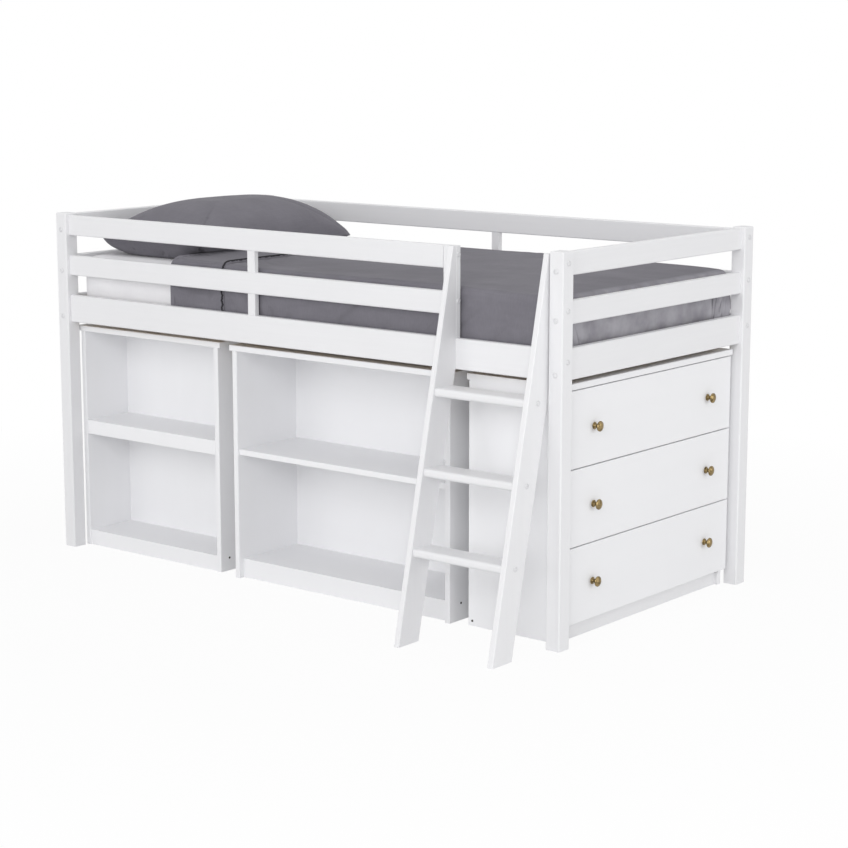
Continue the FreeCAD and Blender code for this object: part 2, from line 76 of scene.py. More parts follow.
# one node tree under construction, of a material or of the sky
class Surface:
    def __init__(self, owner):
        self.owner = owner
        owner.use_nodes = True
        self.tree = owner.node_tree
        self.shader = self.tree.nodes.get("Principled BSDF")
        self.end = next(node for node in self.tree.nodes if "OUTPUT" in node.type)
        self.place = self.add("TexCoord", out="Object")

    # a node by its type, its settings, then the values or links of its sockets
    def add(self, kind, settings=None, sockets=None, out=0):
        node = self.tree.nodes.new("ShaderNode" + kind)
        for name, value in (settings or {}).items():
            setattr(node, name, value)
        self.feed(node, sockets or {})
        return Wire(self, node.outputs[out])

    def feed(self, node, sockets):
        for name, value in sockets.items():
            if isinstance(value, Wire):
                self.tree.links.new(value.socket, node.inputs[name])
            elif isinstance(value, tuple) and len(value) == 3 and node.inputs[name].type == "RGBA":
                node.inputs[name].default_value = (*value, 1)
            else:
                node.inputs[name].default_value = value

    def stretched(self, scale):
        return self.add("Mapping", {}, {"Vector": self.place, "Scale": scale})

    def noise(self, scale, detail=3.0, vector=None, rough=0.5):
        sockets = {"Vector": vector or self.place, "Scale": scale, "Detail": detail, "Roughness": rough}
        return self.add("TexNoise", {}, sockets, "Fac")

    def blend(self, factor, first, second):
        return self.add("Mix", {"data_type": "RGBA"}, {0: factor, 6: first, 7: second}, 2)

    def ramp(self, factor, low, high):
        return self.add("MapRange", {}, {0: factor, 1: low, 2: high})

    def bump(self, height, strength, distance, normal=None):
        sockets = {"Height": height, "Strength": strength, "Distance": distance}
        if normal is not None:
            sockets["Normal"] = normal
        return self.add("Bump", {}, sockets)

    # rays that meet a plain white backdrop: from the camera, mirrored or let through
    def seenRays(self):
        camera, glossy, passed = (self.add("LightPath", out="Is " + kind + " Ray")
                                  for kind in ("Camera", "Glossy", "Transmission"))
        return self.add("Clamp", {}, {0: camera + glossy + passed})

    def finish(self, **sockets):
        names = {"colour": "Base Color", "rough": "Roughness", "metal": "Metallic", "normal": "Normal",
                 "sheen": "Sheen Weight", "sheenRough": "Sheen Roughness", "specular": "Specular IOR Level"}
        self.feed(self.shader, {names[key]: value for key, value in sockets.items()})
        return self.owner


# white satin paint over planed pine, with the grain running along one axis
paintLook = {"light": (0.83, 0.83, 0.845), "dull": (0.775, 0.775, 0.79), "grainAcross": 95.0, "grainAlong": 3.2,
             "cloud": 3.1, "brush": 0.16, "peel": 420.0, "rough": 0.36, "roughSpread": 0.16, "specular": 0.42}
boardLook = {**paintLook, "light": (0.872, 0.873, 0.89), "dull": (0.835, 0.836, 0.852)}


def paintedWood(name, axis, look, grain):
    surface = Surface(bpy.data.materials.new(name))
    scale = [look["grainAcross"]] * 3
    scale[axis] = look["grainAlong"]
    fibres = surface.noise(1.0, 4.0, surface.stretched(tuple(scale)), 0.6)
    cloud = surface.noise(look["cloud"], 2.0)
    brushed = surface.noise(1.0, 2.0, surface.stretched(tuple(value * look["brush"] for value in scale)))
    peel = surface.noise(look["peel"], 1.0)
    tone = surface.ramp(0.45 * grain * fibres + 0.35 * cloud + 0.3 * brushed, 0.25, 0.95)
    colour = surface.blend(tone, look["light"], look["dull"])
    relief = surface.bump(0.8 * grain * fibres + 0.5 * brushed, 0.22, 0.0007)
    relief = surface.bump(peel, 0.05, 0.0004, relief)
    return surface.finish(colour=colour, rough=look["rough"] + look["roughSpread"] * brushed, normal=relief,
                          specular=look["specular"])


# bare planed pine for what the paint doesn't reach
pineLook = {"pale": (0.72, 0.55, 0.34), "ring": (0.60, 0.42, 0.23), "rings": 17.0, "alongGrain": 0.06,
            "distortion": 9.0, "detailScale": 1.1, "fine": 160.0}


def pineGrain(surface, axis):
    scale = [1.0, 1.0, 1.0]
    scale[axis] = pineLook["alongGrain"]
    place = surface.stretched(tuple(scale))
    bands = surface.add("TexWave", {"wave_type": "RINGS", "rings_direction": "XYZ"[axis]},
                        {"Vector": place, "Scale": pineLook["rings"], "Distortion": pineLook["distortion"],
                         "Detail": 3.0, "Detail Scale": pineLook["detailScale"]}, "Fac")
    return bands, surface.noise(pineLook["fine"], 3.0, place)


# a box has the grain of its two sides, which face along Y, turned to run along X
def barePine(name, axis, box=False):
    surface = Surface(bpy.data.materials.new(name))
    bands, fine = pineGrain(surface, axis)
    if box:
        facing = surface.add("SeparateXYZ", {}, {0: surface.add("TexCoord", out="Normal")}, "Y")
        share = facing * facing
        sideBands, sideFine = pineGrain(surface, 0)
        bands = bands + share * (sideBands - bands)
        fine = fine + share * (sideFine - fine)
    colour = surface.blend(surface.ramp(0.75 * bands + 0.4 * fine, 0.2, 1.1), pineLook["pale"], pineLook["ring"])
    relief = surface.bump(bands * 0.4 + fine, 0.18, 0.0006)
    return surface.finish(colour=colour, rough=0.56 + 0.15 * fine, normal=relief)


# plain woven cotton, with slubs, a cloudy dye and fine thread relief; with a foot factor, also painted light on the
# foot drop and painted shade in the creases
cottonLook = {"cloud": 7.0, "slubLong": 14.0, "slubShort": 420.0, "slubDown": 60.0, "sheen": 0.07, "sheenRough": 0.5,
              "specular": 0.2, "footLitFrom": -0.020, "footLitFull": 0.003, "footLitPatches": 15.0, "footLitColour": (0.45, 0.44, 0.475),
              "shade": (0.045, 0.043, 0.05), "shadeFrom": 0.455, "shadeNone": 0.496}


def cotton(name, light, dark, thread=640.0, footPaintedLight=0.0):
    look = cottonLook
    surface = Surface(bpy.data.materials.new(name))
    weave = None
    for direction in "XYZ":
        band = surface.add("TexWave", {"bands_direction": direction},
                           {"Vector": surface.place, "Scale": thread, "Distortion": 0.6}, "Fac")
        weave = band if weave is None else weave + band
    cloud = surface.noise(look["cloud"], 4.0, None, 0.6)
    slubAlong = surface.noise(1.0, 3.0, surface.stretched((look["slubLong"], look["slubShort"], look["slubDown"])))
    slubAcross = surface.noise(1.0, 3.0, surface.stretched((look["slubShort"], look["slubLong"], look["slubDown"])))
    tone = surface.ramp(0.55 * cloud + 0.3 * slubAlong + 0.3 * slubAcross, 0.32, 0.85)
    colour = surface.blend(tone, light, dark)
    if footPaintedLight:
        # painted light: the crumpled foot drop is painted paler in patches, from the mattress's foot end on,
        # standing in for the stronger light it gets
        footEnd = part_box("mattress")[1].x
        along = surface.add("SeparateXYZ", {}, {0: surface.place}, "X")
        patches = surface.ramp(surface.noise(look["footLitPatches"], 3.0), 0.1, 0.65)
        pale = surface.ramp(along, footEnd + look["footLitFrom"], footEnd + look["footLitFull"]) * patches
        colour = surface.blend(footPaintedLight * pale, colour, look["footLitColour"])
        # shade gathers in the creases
        bare = surface.ramp(surface.add("NewGeometry", out="Pointiness"), look["shadeFrom"], look["shadeNone"])
        colour = surface.blend(bare, look["shade"], colour)
    relief = surface.bump(0.3 * weave + slubAlong + slubAcross, 0.16, 0.0006)
    return surface.finish(colour=colour, rough=0.86 + 0.1 * cloud, normal=relief, sheen=look["sheen"],
                          sheenRough=look["sheenRough"], specular=look["specular"])


# aged brass: warm where it is handled, brown in the patina
brassLook = {"warm": (0.36, 0.265, 0.125), "brown": (0.095, 0.07, 0.034), "patches": 130.0, "pits": 620.0}


def agedBrass(name):
    surface = Surface(bpy.data.materials.new(name))
    patina = surface.ramp(surface.noise(brassLook["patches"], 4.0, None, 0.65), 0.38, 0.68)
    colour = surface.blend(patina, brassLook["warm"], brassLook["brown"])
    relief = surface.bump(surface.noise(brassLook["pits"], 2.0), 0.08, 0.0003)
    return surface.finish(colour=colour, rough=0.27 + 0.25 * patina, metal=1.0, normal=relief)


def enamel(name, light, dull, rough):
    surface = Surface(bpy.data.materials.new(name))
    spot = surface.noise(180.0, 2.0)
    colour = surface.blend(spot, light, dull)
    return surface.finish(colour=colour, rough=rough + 0.12 * spot, normal=surface.bump(spot, 0.06, 0.0003))


def darkSteel(name):
    surface = Surface(bpy.data.materials.new(name))
    spot = surface.noise(260.0, 3.0)
    colour = surface.blend(spot, (0.12, 0.11, 0.10), (0.05, 0.045, 0.04))
    return surface.finish(colour=colour, rough=0.42 + 0.2 * spot, metal=0.9, normal=surface.bump(spot, 0.08, 0.0003))


paint = {axis: paintedWood("whitePaintAlong" + "XYZ"[axis], axis, paintLook, 1.0) for axis in range(3)}
boardPaint = {axis: paintedWood("boardPaintAlong" + "XYZ"[axis], axis, boardLook, 0.35) for axis in range(3)}
pine = {axis: barePine("barePineAlong" + "XYZ"[axis], axis) for axis in range(3)}
boxPine = barePine("barePineBox", 1, True)
sheetCotton = cotton("whiteSheetCotton", (0.885, 0.88, 0.90), (0.82, 0.815, 0.835))
# the grey bedding gets painted light on its foot drop and painted shade in its creases
greyCotton = cotton("greyBeddingCotton", (0.215, 0.208, 0.235), (0.152, 0.146, 0.168), footPaintedLight=0.85)
# near-black thread for the hem stitches: its darkness is painted shadow under the cuff's edge
seamShadowCotton = cotton("seamThreadPaintedShadow", (0.045, 0.043, 0.05), (0.02, 0.019, 0.022), 900.0)
brass = agedBrass("agedBrass")
capEnamel = enamel("capEnamel", (0.80, 0.80, 0.815), (0.70, 0.70, 0.715), 0.32)
screwSteel = darkSteel("screwSteel")


def longAxis(name):
    low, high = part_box(name)
    size = high - low
    return max(range(3), key=lambda axis: size[axis])


def dress(name, material):
    nodes[name].data.materials.clear()
    nodes[name].data.materials.append(material)


bareNodes = ("slat_ledgers", "bed_slats", "chest_corner_blocks", "drawer_runners")
for nodeName in nodes:
    if nodeName.endswith("_drawer_box"):
        dress(nodeName, boxPine)
    elif nodeName in bareNodes:
        dress(nodeName, pine[1 if nodeName == "bed_slats" else longAxis(nodeName)])
    elif nodeName in ("assembly_screws", "large_bookcase_shelf_pins"):
        dress(nodeName, screwSteel)
    elif "bookcase" in nodeName or "chest" in nodeName or "drawer" in nodeName:
        dress(nodeName, boardPaint[longAxis(nodeName)])
    elif nodeName in ("guard_uprights", "ladder_left_stile", "ladder_right_stile"):
        dress(nodeName, paint[2])
    elif nodeName == "ladder_treads":
        dress(nodeName, paint[0])
    else:
        dress(nodeName, paint[longAxis(nodeName)])
print("stage: wood, paint and metal on the CAD nodes")


def clearSelection():
    if bpy.context.object and bpy.context.object.mode != "OBJECT":
        bpy.ops.object.mode_set(mode="OBJECT")
    bpy.ops.object.select_all(action="DESELECT")


def onlyActive(piece):
    clearSelection()
    piece.select_set(True)
    bpy.context.view_layer.objects.active = piece


def applyModifier(piece, kind, **settings):
    onlyActive(piece)
    modifier = piece.modifiers.new(kind.lower(), kind)
    for name, value in settings.items():
        setattr(modifier, name, value)
    bpy.ops.object.modifier_apply(modifier=modifier.name)


def recalculate():
    bpy.ops.object.mode_set(mode="EDIT")
    bpy.ops.mesh.select_all(action="SELECT")
    bpy.ops.mesh.normals_make_consistent(inside=False)
    bpy.ops.object.mode_set(mode="OBJECT")


def points(piece):
    found = np.empty(len(piece.data.vertices) * 3)
    piece.data.vertices.foreach_get("co", found)
    return found.reshape(-1, 3)


def setPoints(piece, places):
    piece.data.vertices.foreach_set("co", np.ascontiguousarray(places, dtype=np.float32).ravel())
    piece.data.update()


# nothing up to a start, then evenly up to one over a run
def climb(value, start, run):
    return np.clip((value - start) / run, 0, 1)


def coat(piece, material, body, slot, *replaced):
    piece.data.materials.clear()
    piece.data.materials.append(material)
    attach(piece, body)
    if replaced:
        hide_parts(*replaced)


# copies of one model, each with a mesh of its own, joined into one piece
def placeCopies(model, turns, name):
    copies = []
    for turn in turns:
        copy = model.copy()
        copy.data = model.data.copy()
        copy.data.transform(turn)
        scene.collection.objects.link(copy)
        copies.append(copy)
    clearSelection()
    for copy in copies:
        copy.select_set(True)
    bpy.context.view_layer.objects.active = copies[0]
    bpy.ops.object.join()
    copies[0].name = name
    return copies[0]


# cloth run on a piece, with no point moved further than its give
clothRun = {"quality": 7, "mass": 0.3, "airDamping": 2.0, "contact": 0.002}


def runCloth(piece, frames, give, pressure=0.0, gravity=0.0, grow=0.0, pins="", stiff=15.0, bend=0.4, colliders=()):
    rest = points(piece)
    onlyActive(piece)
    for collider in colliders:
        collider.modifiers.new("stop", "COLLISION")
        collider.collision.thickness_outer = clothRun["contact"]
    cloth = piece.modifiers.new("cloth", "CLOTH")
    settings = cloth.settings
    settings.quality = clothRun["quality"]
    settings.mass = clothRun["mass"]
    settings.air_damping = clothRun["airDamping"]
    settings.tension_stiffness = stiff
    settings.compression_stiffness = stiff
    settings.shear_stiffness = stiff / 3
    settings.bending_stiffness = bend
    settings.shrink_min = -grow
    settings.vertex_group_mass = pins
    settings.use_pressure = pressure > 0
    settings.uniform_pressure_force = pressure
    settings.effector_weights.gravity = gravity
    cloth.collision_settings.use_collision = bool(colliders)
    cloth.collision_settings.distance_min = clothRun["contact"]
    cloth.collision_settings.use_self_collision = False
    cloth.point_cache.frame_start = 1
    cloth.point_cache.frame_end = frames
    for frameNumber in range(1, frames + 1):
        scene.frame_set(frameNumber)
    bpy.ops.object.modifier_apply(modifier=cloth.name)
    scene.frame_set(1)
    for collider in colliders:
        collider.modifiers.clear()
    moved = points(piece) - rest
    reach = np.linalg.norm(moved, axis=1, keepdims=True)
    setPoints(piece, rest + moved * np.minimum(1.0, give / np.maximum(reach, 1e-9)))


# mattress in a fitted white sheet
mattressPad = {"inset": 0.004, "rounding": 0.026, "voxel": 0.015, "pressure": 3.0, "frames": 12, "give": 0.0036,
               "grow": 0.012}


def makeMattress():
    pad = mattressPad
    low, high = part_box("mattress")
    clearSelection()
    bpy.ops.mesh.primitive_cube_add(size=1, location=(low + high) / 2)
    piece = bpy.context.object
    piece.name = "mattressInSheet"
    size = high - low - Vector((1, 1, 1)) * 2 * pad["inset"]
    bpy.ops.transform.resize(value=size)
    bpy.ops.object.transform_apply(location=True, rotation=True, scale=True)
    bpy.ops.object.mode_set(mode="EDIT")
    bpy.ops.mesh.select_all(action="SELECT")
    bpy.ops.mesh.bevel(offset=pad["rounding"], segments=5)
    bpy.ops.object.mode_set(mode="OBJECT")
    applyModifier(piece, "REMESH", mode="VOXEL", voxel_size=pad["voxel"])
    runCloth(piece, pad["frames"], pad["give"], pressure=pad["pressure"], grow=pad["grow"])
    applyModifier(piece, "SUBSURF", levels=1, render_levels=1)
    bpy.ops.object.shade_smooth()
    coat(piece, sheetCotton, "bed", "white_sheet", "mattress")
    return piece


mattress = makeMattress()
print("stage: mattress,", len(mattress.data.polygons), "faces")


# rounded ridges with sharp creases between them, from waves of mixed length and lean
creaseWaves = {"count": 9, "phase": 6.3, "mean": 0.64}


def creases(across, down, seed, shortest, longest, lean):
    random = np.random.default_rng(seed)
    total = np.zeros_like(across)
    for _ in range(creaseWaves["count"]):
        length = shortest + (longest - shortest) * random.random()
        angle = lean * (random.random() - 0.5)
        phase = math.pi / length * (across * math.cos(angle) + down * math.sin(angle))
        phase += creaseWaves["phase"] * random.random()
        total += (np.abs(np.sin(phase)) - creaseWaves["mean"]) * length / longest
    return total / np.abs(total).max()


# even steps, closer around a few centres
def fineSteps(low, high, step, dense):
    places = list(np.linspace(low, high, int(round((high - low) / step)) + 1))
    for centre, reach, gap in dense:
        places = [value for value in places if abs(value - centre) > reach]
        places += list(np.arange(centre - reach, centre + reach + gap / 2, gap))
    return np.array(sorted(value for value in places if low - 1e-9 <= value <= high + 1e-9))


# duvet laid over the mattress, its head edge turned back into a cuff, its foot corners gathered
# crease sets are a seed, the shortest and longest wave and the lean; tucks are an inset, a depth and a lean
duvetCover = {"step": 0.019, "rounding": 0.031, "topRise": 0.0145, "sideRoom": 0.0064, "thickness": 0.0045,
              "cuffWidth": 0.232, "cuffRise": 0.010, "cuffTaper": 0.35, "fold": 0.016, "foldSink": 0.010,
              "foldRows": (0.012, 0.012, 0.002), "hemRows": (0.009, 0.0018), "hemStep": 0.004, "hemInset": 0.003,
              "rearFrom": 0.28, "rearRun": 0.24, "rearTaper": 0.75,
              "cornerPower": 0.42, "cornerBlend": 5, "squareFrom": 0.02, "squareRun": 0.05, "squareShare": 0.85,
              "frontGather": (0.02, 0.08, 0.0068), "rearGather": (0.045, 0.065, 0.0034),
              "gatherSpread": 0.085, "gatherOver": 0.06, "gatherFrom": 0.03, "gatherRun": 0.05,
              "pleats": (11, 0.026, 0.044, 0.30), "pleatDepth": 0.017, "pleatLeast": 0.3, "pleatPower": 0.6,
              "tucks": ((0.010, 0.014, 0.10), (0.028, 0.012, -0.06), (0.052, 0.013, 0.05), (0.085, 0.010, -0.1)),
              "tuckWidth": 0.0054, "tuckFloor": -0.001,
              "creases": (5, 0.03, 0.10, 2.2), "creaseDepth": 0.0045, "creaseRaise": 0.4, "creaseShare": 0.5,
              "wrinkles": (17, 0.09, 0.30, 1.1), "wrinkle": 0.005, "wrinkleRun": 0.15,
              "footDip": 0.007, "footRun": 0.22, "endSwell": 0.004, "sideSwell": 0.0035,
              "pinnedHem": 0.02, "pinnedCuff": 0.006, "railRoom": 0.0015, "postRoom": 0.001, "postMargin": 0.002,
              "blockRoom": (0.002, 0.002, 0.016), "gravity": 0.35, "stiff": 10.0, "bend": 0.15,
              "frames": 18, "give": 0.006, "grow": 0.02}


def makeDuvet():
    cover = duvetCover
    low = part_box("duvet")[0]
    bedLow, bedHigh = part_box("mattress")
    top = bedHigh.z + cover["topRise"]
    radius = cover["rounding"]
    quarter = radius * math.pi / 2
    cuffWidth = cover["cuffWidth"]
    drop = top - low.z - radius + quarter
    flatLength = bedHigh.x + cover["sideRoom"] - radius - low.x
    halfWidth = (bedHigh.y - bedLow.y) / 2 + cover["sideRoom"] - radius
    middle = (bedHigh.y + bedLow.y) / 2
    along = fineSteps(0, flatLength + drop, cover["step"], (cover["foldRows"], (cuffWidth, *cover["hemRows"])))
    corners = [(sign * (halfWidth - inset), reach, gap) for sign, (inset, reach, gap)
               in ((-1, cover["frontGather"]), (1, cover["rearGather"]))]
    across = fineSteps(-halfWidth - drop, halfWidth + drop, cover["step"], corners)
    clearSelection()
    bpy.ops.mesh.primitive_grid_add(x_subdivisions=len(along) - 1, y_subdivisions=len(across) - 1, size=1)
    piece = bpy.context.object
    piece.name = "duvetCover"
    # on the cloth, s runs from the head edge to the foot hem and t from the front hem to the rear hem
    grid = points(piece)
    s = along[np.round((grid[:, 0] + 0.5) * (len(along) - 1)).astype(int)]
    t = across[np.round((grid[:, 1] + 0.5) * (len(across) - 1)).astype(int)]
    over = np.maximum(0, s - flatLength)
    side = np.maximum(0, np.abs(t) - halfWidth)
    down = (over ** cover["cornerBlend"] + side ** cover["cornerBlend"]) ** (1 / cover["cornerBlend"])
    turn = np.arctan2(side, over)
    bend = np.minimum(down / radius, math.pi / 2)
    rise, reach = np.cos(bend), np.sin(bend)
    out = radius * reach
    hang = radius * (1 - rise) + np.maximum(0, down - quarter)
    # the foot corners are filled out squarer than a round, the more so further down
    power = cover["cornerPower"] * (1 - cover["squareShare"] * climb(hang, cover["squareFrom"], cover["squareRun"]))
    ends, sides = np.cos(turn) ** power, np.sin(turn) ** power
    # the cuff swells out of the fold at the head edge, steps down at its hem and flattens at the rear
    fold = np.sqrt(np.clip(1 - (1 - np.minimum(s / cover["fold"], 1)) ** 2, 0, 1))
    hem = np.clip((cuffWidth - s) / cover["hemStep"] + 0.5, 0, 1)
    swell = cover["cuffRise"] * fold * hem * (1 - cover["cuffTaper"] * climb(s, 0, cuffWidth))
    swell *= 1 - cover["rearTaper"] * climb(t, halfWidth - cover["rearFrom"], cover["rearRun"])
    sink = cover["foldSink"] * (1 - fold)
    # gathers round the two foot corners, and slighter creases between them
    near = np.exp(-((np.abs(t) - halfWidth) / cover["gatherSpread"]) ** 2)
    pleats = (0.5 + 0.5 * creases(t, hang, *cover["pleats"])) ** cover["pleatPower"]
    folds = near * cover["pleatDepth"] * (cover["pleatLeast"] + (1 - cover["pleatLeast"]) * pleats)
    slight = cover["creaseRaise"] + cover["creaseShare"] * creases(t, hang, *cover["creases"])
    folds += cover["creaseDepth"] * slight
    # a few deep tucks where the cloth is drawn round the rear foot corner
    for inset, depth, lean in cover["tucks"]:
        folds -= depth * np.exp(-((t - halfWidth + inset + lean * hang) / cover["tuckWidth"]) ** 2)
    folds = np.maximum(folds, cover["tuckFloor"])
    gather = folds * climb(over, 0, cover["gatherOver"]) * climb(hang, cover["gatherFrom"], cover["gatherRun"])
    lift = swell - sink - cover["footDip"] * climb(s, flatLength - cover["footRun"], cover["footRun"])
    lift += cover["wrinkle"] * creases(t, s, *cover["wrinkles"]) * climb(s, cuffWidth, cover["wrinkleRun"])
    endLift, sideLift = np.minimum(lift, cover["endSwell"]), np.minimum(lift, cover["sideSwell"])
    x = low.x + np.minimum(s, flatLength) + (out + gather + endLift * reach) * ends * (over > 0)
    y = np.minimum(np.abs(t), halfWidth) + (out + sideLift * reach) * sides * (side > 0)
    setPoints(piece, np.stack([x, middle + np.sign(t) * y, top - hang + lift * rise], axis=1))
    # the hems, the fold and the cuff's hem are held while the cloth settles
    pinned = piece.vertex_groups.new(name="hem")
    lowest = hang > drop - quarter + radius - cover["pinnedHem"]
    onCuffHem = np.abs(s - cuffWidth) < cover["pinnedCuff"]
    pinnedRows = np.nonzero(lowest | (s < cover["pinnedHem"]) | onCuffHem)[0]
    pinned.add([int(index) for index in pinnedRows], 1.0, "REPLACE")
    clearSelection()
    bpy.ops.mesh.primitive_cube_add(size=1, location=(bedLow + bedHigh) / 2)
    block = bpy.context.object
    bpy.ops.transform.resize(value=(bedHigh - bedLow) + Vector(cover["blockRoom"]))
    bpy.ops.object.transform_apply(location=True, rotation=True, scale=True)
    runCloth(piece, cover["frames"], cover["give"], gravity=cover["gravity"], grow=cover["grow"], pins="hem",
             stiff=cover["stiff"], bend=cover["bend"], colliders=(block,))
    bpy.data.objects.remove(block)
    # nothing passes the base rails or the foot posts
    held = points(piece)
    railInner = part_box("front_base_rail")[1].y + cover["railRoom"]
    postLow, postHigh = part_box("front_foot_post")
    held[:, 1] = np.clip(held[:, 1], railInner, 2 * middle - railInner)
    beside = np.abs(held[:, 1] - middle) > middle - postHigh.y - cover["postMargin"]
    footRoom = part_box("foot_base_rail")[0].x - cover["railRoom"]
    held[:, 0] = np.minimum(held[:, 0], np.where(beside, postLow.x - cover["postRoom"], footRoom))
    setPoints(piece, held)
    hemRow = along[np.argmin(np.abs(along - cuffWidth + cover["hemInset"]))]
    hemPoints = [int(index) for index in np.nonzero(np.abs(s - hemRow) < 1e-6)[0]]
    hemPoints.sort(key=lambda index: t[index])
    applyModifier(piece, "SOLIDIFY", thickness=cover["thickness"], offset=-1.0)
    applyModifier(piece, "SUBSURF", levels=1, render_levels=1)
    recalculate()
    bpy.ops.object.shade_smooth()
    coat(piece, greyCotton, "bed", "grey_bedding", "duvet")
    return piece, held[hemPoints]


duvet, cuffHem = makeDuvet()
print("stage: duvet,", len(duvet.data.polygons), "faces")


# dark ragged stitches along the cuff's hem, drawn thick and near black as painted shadow under the cuff's edge,
# pulled flat towards the rear
hemStitchShadow = {"length": 0.0135, "width": 0.0056, "gap": 0.0095, "sway": 0.0034, "lean": 0.9, "lift": 0.0005,
             "rounding": 0.4, "ahead": 0.004, "rearReach": 0.30, "rearRun": 0.06, "rearFlat": 0.2}


def makeStitchShadow():
    stitch = hemStitchShadow
    clearSelection()
    bpy.ops.mesh.primitive_cube_add(size=1)
    model = bpy.context.object
    bpy.ops.transform.resize(value=(stitch["width"], stitch["length"], stitch["width"]))
    bpy.ops.object.transform_apply(location=True, rotation=True, scale=True)
    bpy.ops.object.mode_set(mode="EDIT")
    bpy.ops.mesh.select_all(action="SELECT")
    bpy.ops.mesh.bevel(offset=stitch["width"] * stitch["rounding"], segments=2)
    bpy.ops.object.mode_set(mode="OBJECT")
    random = np.random.default_rng(21)
    steps = np.linalg.norm(np.diff(cuffHem, axis=0), axis=1)
    walked = np.concatenate([[0], np.cumsum(steps)])
    bedLow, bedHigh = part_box("mattress")
    inside = (bedLow + bedHigh) / 2
    alongBed = Vector((1, 0, 0))
    turns = []
    for place in np.arange(stitch["gap"], walked[-1] - stitch["gap"], stitch["gap"]):
        spot, ahead = (Vector([np.interp(place + step, walked, cuffHem[:, axis]) for axis in range(3)])
                       for step in (0, stitch["ahead"]))
        run = (ahead - spot).normalized()
        outward = alongBed.cross(run).normalized()
        if outward.dot(spot - inside) < 0:
            outward.negate()
        run = (run + alongBed * stitch["lean"] * (random.random() - 0.5)).normalized()
        spot += outward * stitch["lift"] + alongBed * stitch["sway"] * (random.random() - 0.5)
        rearward = float(climb(place, walked[-1] - stitch["rearReach"], stitch["rearRun"]))
        height = outward * (1 - (1 - stitch["rearFlat"]) * rearward)
        turns.append(Matrix.Translation(spot) @ Matrix((run.cross(outward), run, height)).transposed().to_4x4())
    piece = placeCopies(model, turns, "cuffStitchesPaintedShadow")
    bpy.data.objects.remove(model)
    bpy.ops.object.shade_smooth()
    coat(piece, seamShadowCotton, "bed", "grey_bedding")
    return piece


stitches = makeStitchShadow()
print("stage: cuff stitches,", len(stitches.data.polygons), "faces")


# pillow: a crowned case with drawn-in sides, blown up and creased at its seam, its underside settled on the sheet
pillowCase = {"cells": (60, 96), "seam": 0.006, "shares": (0.99, 0.99, 0.985), "waist": 0.05, "endWaist": 0.7,
              "seamFront": 0.29, "seamRear": 0.15, "crown": 0.60, "crownAlong": 2.3, "crownAcross": 3.2,
              "corner": 8.0, "press": 1.7, "crease": 0.018, "creaseLimit": 0.8,
              "endCreases": (3, 0.035, 0.11, 0.5), "sideCreases": (8, 0.04, 0.13, 0.5),
              "underRoom": 0.0004, "cuffReach": 0.022, "cuffRun": 0.016,
              "pressure": 3.0, "stiff": 12.0, "bend": 0.1, "frames": 16, "give": 0.006, "grow": 0.03}


# the pillow lies on the sheet and, further on, on the cuff
def settle(places, low):
    cuffLow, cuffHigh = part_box("duvet")
    onCuff = climb(places[:, 0], cuffLow.x - pillowCase["cuffReach"], pillowCase["cuffRun"])
    ground = low.z + pillowCase["underRoom"] + onCuff * (cuffHigh.z - low.z)
    places[:, 2] = np.maximum(places[:, 2], ground)
    return places


def makePillow():
    case = pillowCase
    low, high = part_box("pillow")
    clearSelection()
    bpy.ops.mesh.primitive_grid_add(x_subdivisions=case["cells"][0], y_subdivisions=case["cells"][1], size=1)
    piece = bpy.context.object
    piece.name = "pillowInCase"
    applyModifier(piece, "SOLIDIFY", thickness=case["seam"], offset=0.0)
    places = points(piece)
    u, v = np.clip(2 * places[:, 0], -1, 1), np.clip(2 * places[:, 1], -1, 1)
    size = np.array(high - low) * np.array(case["shares"])
    middle = np.array((low + high) / 2)
    # the corners are drawn in and rounded
    corner = case["corner"]
    widest = np.maximum(np.maximum(np.abs(u), np.abs(v)), 1e-6)
    drawn = widest / (np.abs(u) ** corner + np.abs(v) ** corner + 1e-60) ** (1 / corner)
    x = middle[0] + size[0] / 2 * u * drawn * (1 - case["waist"] * (1 - v ** 2))
    y = middle[1] + size[1] / 2 * v * drawn * (1 - case["endWaist"] * case["waist"] * (1 - u ** 2))
    full = np.clip((1 - np.abs(u) ** case["crownAlong"]) * (1 - np.abs(v) ** case["crownAcross"]), 0, 1)
    full **= case["crown"]
    seam = size[2] * (case["seamFront"] + (case["seamRear"] - case["seamFront"]) * (v + 1) / 2)
    # creases run in from the seam and die out on the crown
    ends = np.clip((np.abs(v) - np.abs(u)) * 2 + 0.5, 0, 1)
    ruffle = ends * creases(x, y, *case["endCreases"]) + (1 - ends) * creases(y, x, *case["sideCreases"])
    ruffle *= case["crease"] * full * np.clip(case["creaseLimit"] - full, 0, 1)
    above = places[:, 2] > 0
    z = low.z + seam + np.where(above, full * (size[2] - seam) + ruffle, -full * seam * case["press"])
    setPoints(piece, settle(np.stack([x, y, z + 0.5 * places[:, 2]], axis=1), low))
    runCloth(piece, case["frames"], case["give"], pressure=case["pressure"], grow=case["grow"],
             stiff=case["stiff"], bend=case["bend"])
    places = settle(points(piece), low)
    setPoints(piece, np.clip(places, np.array(low), np.array(high)))
    applyModifier(piece, "SUBSURF", levels=1, render_levels=1)
    recalculate()
    bpy.ops.object.shade_smooth()
    coat(piece, greyCotton, "bed", "grey_bedding", "pillow")
    return piece


pillow = makePillow()
print("stage: pillow,", len(pillow.data.polygons), "faces")


# rounded caps with a dished middle over the bolts of the frame and the ladder
boltCap = {"radius": 0.0068, "height": 0.0016, "dish": 0.0007, "sides": 20, "rounding": 0.45, "rim": 0.3,
           "slope": 0.16, "smooth": 40, "weld": 1e-6, "flat": 1e-5}


